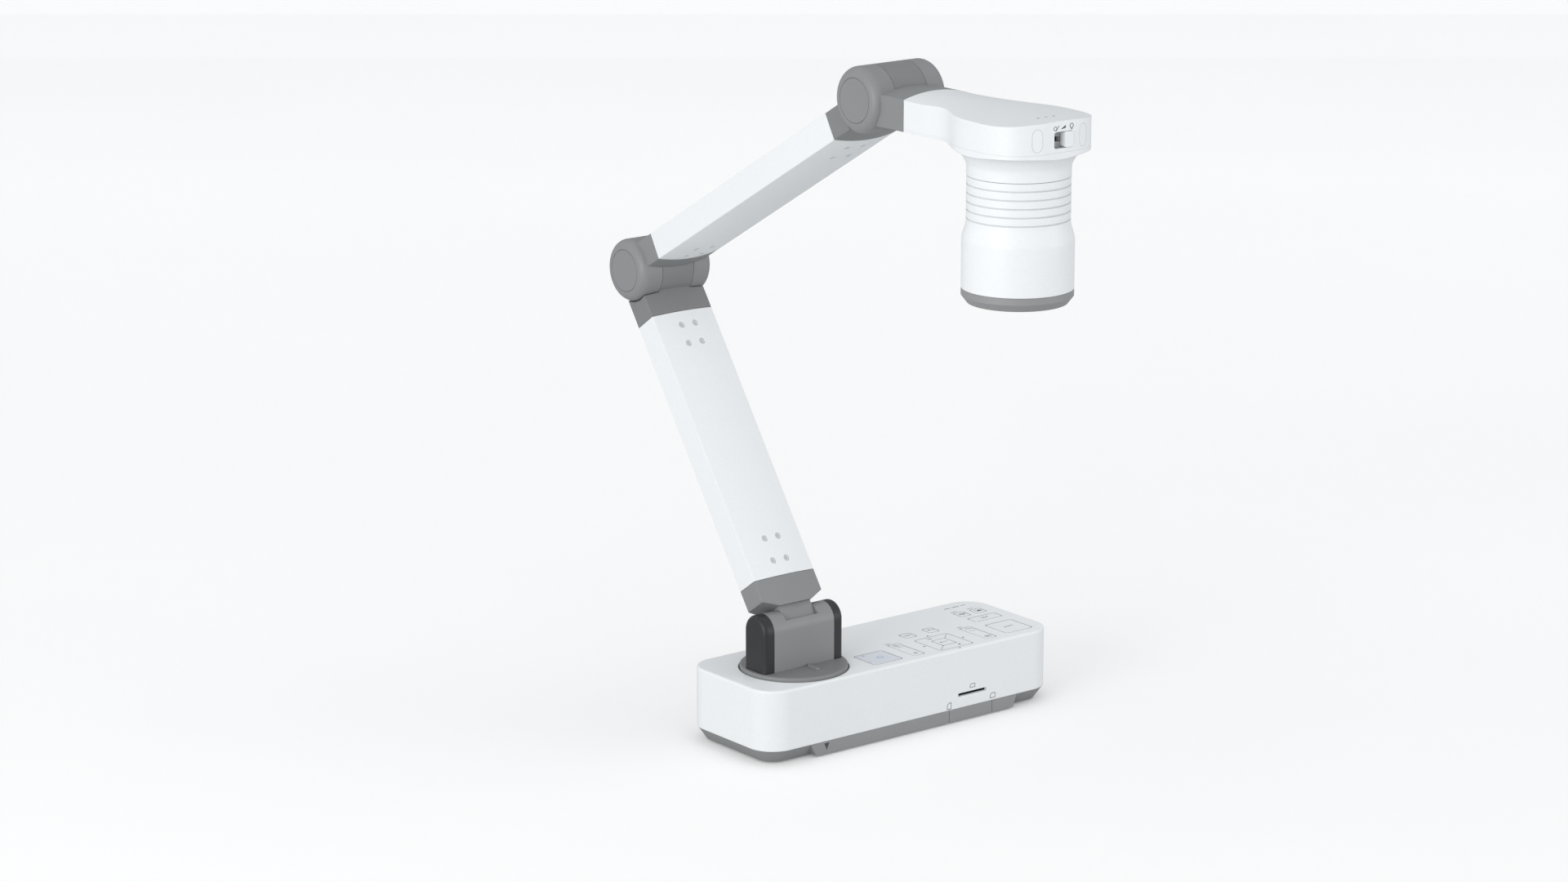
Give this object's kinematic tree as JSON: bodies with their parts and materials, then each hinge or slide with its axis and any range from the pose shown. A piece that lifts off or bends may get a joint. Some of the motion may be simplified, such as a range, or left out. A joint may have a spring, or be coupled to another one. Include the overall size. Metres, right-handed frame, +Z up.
{
  "type": "document camera",
  "caption": "Desk document camera: long base with flush keys and a card slot, swivelling two-section folding arm, and a tilting head with a round ribbed camera barrel.",
  "frame": {"origin": "centre of the base on the table plane, at the underside of the centre rubber pad", "axes": "+X along the base from the turntable towards the keys, -Y the front with the card slot, towards which the head reaches, +Z up"},
  "size_m": [0.27, 0.4618, 0.5078],
  "materials": {
    "white_plastic": "smooth satin, cool white",
    "grey_plastic": "fine satin, mid grey",
    "dark_plastic": "fine matt, near black",
    "rubber": "matt",
    "steel": "bright zinc plated",
    "brass": "plain",
    "structural_plastic": "glass filled",
    "circuit_board": "solder mask",
    "connector_metal": "tinned",
    "window_glass": "polished, smoked",
    "lens_glass": "coated",
    "lamp_plastic": "clear cream"
  },
  "bodies": {
    "base": {"base_top_cover": "white_plastic", "base_tray": "grey_plastic", "rubber_feet": "rubber", "base_screws": "steel", "ballast_plate": "steel", "swivel_pedestal": "structural_plastic", "swivel_bush": "dark_plastic", "main_board": "circuit_board", "key_board": "circuit_board", "card_socket": "connector_metal", "rear_connectors": "connector_metal"},
    "turntable": {"turntable_disc": "grey_plastic", "swivel_spindle": "steel", "swivel_nut": "steel", "yoke_housing": "grey_plastic", "yoke_cap_left": "dark_plastic", "yoke_cap_right": "dark_plastic", "yoke_screws": "steel", "base_hinge_shaft": "steel", "base_hinge_washers": "brass"},
    "lower_arm": {"lower_arm_tube": "white_plastic", "lower_arm_foot": "grey_plastic", "elbow_knuckle": "grey_plastic", "lower_arm_screws": "steel"},
    "upper_arm": {"elbow_fork": "grey_plastic", "elbow_bolt": "steel", "elbow_washers": "brass", "elbow_caps": "grey_plastic", "upper_arm_tube": "white_plastic", "shoulder_knuckle": "grey_plastic", "upper_arm_screws": "steel"},
    "head": {"shoulder_fork": "grey_plastic", "shoulder_bolt": "steel", "shoulder_washers": "brass", "shoulder_caps": "grey_plastic", "head_top_shell": "white_plastic", "head_bottom_shell": "white_plastic", "barrel_retainer": "dark_plastic"},
    "lamp_slider": {"lamp_slider": "white_plastic"},
    "barrel": {"barrel_shell": "white_plastic", "barrel_bezel": "grey_plastic", "front_window": "window_glass", "lens_tube": "dark_plastic", "lens_elements": "lens_glass", "sensor_board": "circuit_board", "lamp_led": "lamp_plastic"},
    "power_key": {"power_key": "white_plastic"},
    "menu_key": {"menu_key": "white_plastic"},
    "escape_key": {"escape_key": "white_plastic"},
    "freeze_key": {"freeze_key": "white_plastic"},
    "source_key": {"source_key": "white_plastic"},
    "aux_key_a": {"aux_key_a": "white_plastic"},
    "aux_key_b": {"aux_key_b": "white_plastic"},
    "up_key": {"up_key": "white_plastic"},
    "down_key": {"down_key": "white_plastic"},
    "left_key": {"left_key": "white_plastic"},
    "right_key": {"right_key": "white_plastic"},
    "enter_key": {"enter_key": "white_plastic"},
    "zoom_rocker": {"zoom_rocker": "white_plastic"},
    "focus_rocker": {"focus_rocker": "white_plastic"}
  },
  "joints": [
    {"name": "swivel", "type": "hinge", "parent": "base", "child": "turntable", "pos_m": [-0.07766, -0.0051, 0.052], "axis": [0, 0, -1], "range_deg": [-90, 90]},
    {"name": "base_hinge", "type": "hinge", "parent": "turntable", "child": "lower_arm", "pos_m": [-0.07766, -0.0051, 0.0871], "axis": [-1, 0, 0], "range_deg": [-35, 55]},
    {"name": "elbow_hinge", "type": "hinge", "parent": "lower_arm", "child": "upper_arm", "pos_m": [-0.07766, 0.15377, 0.32354], "axis": [1, 0, 0], "range_deg": [-95, 43]},
    {"name": "shoulder_hinge", "type": "hinge", "parent": "upper_arm", "child": "head", "pos_m": [-0.07766, -0.11068, 0.48485], "axis": [-1, 0, 0], "range_deg": [-60, 90]},
    {"name": "barrel_turn", "type": "hinge", "parent": "head", "child": "barrel", "pos_m": [-0.07766, -0.2428, 0.45], "axis": [0, 0, 1], "range_deg": [-90, 90]},
    {"name": "lamp_slide", "type": "slide", "parent": "head", "child": "lamp_slider", "axis": [-1, 0, 0], "range_m": [0, 0.008]},
    {"name": "power_key_press", "type": "slide", "parent": "base", "child": "power_key", "axis": [0, 0, -1], "range_m": [0, 0.0008], "stiffness_N_per_m": 400},
    {"name": "menu_key_press", "type": "slide", "parent": "base", "child": "menu_key", "axis": [0, 0, -1], "range_m": [0, 0.0008], "stiffness_N_per_m": 400},
    {"name": "escape_key_press", "type": "slide", "parent": "base", "child": "escape_key", "axis": [0, 0, -1], "range_m": [0, 0.0008], "stiffness_N_per_m": 400},
    {"name": "freeze_key_press", "type": "slide", "parent": "base", "child": "freeze_key", "axis": [0, 0, -1], "range_m": [0, 0.0008], "stiffness_N_per_m": 400},
    {"name": "source_key_press", "type": "slide", "parent": "base", "child": "source_key", "axis": [0, 0, -1], "range_m": [0, 0.0008], "stiffness_N_per_m": 400},
    {"name": "aux_key_a_press", "type": "slide", "parent": "base", "child": "aux_key_a", "axis": [0, 0, -1], "range_m": [0, 0.0008], "stiffness_N_per_m": 400},
    {"name": "aux_key_b_press", "type": "slide", "parent": "base", "child": "aux_key_b", "axis": [0, 0, -1], "range_m": [0, 0.0008], "stiffness_N_per_m": 400},
    {"name": "up_key_press", "type": "slide", "parent": "base", "child": "up_key", "axis": [0, 0, -1], "range_m": [0, 0.0008], "stiffness_N_per_m": 400},
    {"name": "down_key_press", "type": "slide", "parent": "base", "child": "down_key", "axis": [0, 0, -1], "range_m": [0, 0.0008], "stiffness_N_per_m": 400},
    {"name": "left_key_press", "type": "slide", "parent": "base", "child": "left_key", "axis": [0, 0, -1], "range_m": [0, 0.0008], "stiffness_N_per_m": 400},
    {"name": "right_key_press", "type": "slide", "parent": "base", "child": "right_key", "axis": [0, 0, -1], "range_m": [0, 0.0008], "stiffness_N_per_m": 400},
    {"name": "enter_key_press", "type": "slide", "parent": "base", "child": "enter_key", "axis": [0, 0, -1], "range_m": [0, 0.0008], "stiffness_N_per_m": 400},
    {"name": "zoom_rocker_tilt", "type": "hinge", "parent": "base", "child": "zoom_rocker", "pos_m": [0.0116, -0.0239, 0.05], "axis": [1, 0, 0], "range_deg": [-2.5, 2.5], "stiffness_Nm_per_rad": 0.4},
    {"name": "focus_rocker_tilt", "type": "hinge", "parent": "base", "child": "focus_rocker", "pos_m": [0.0806, -0.0239, 0.05], "axis": [1, 0, 0], "range_deg": [-2.5, 2.5], "stiffness_Nm_per_rad": 0.4}
  ]
}
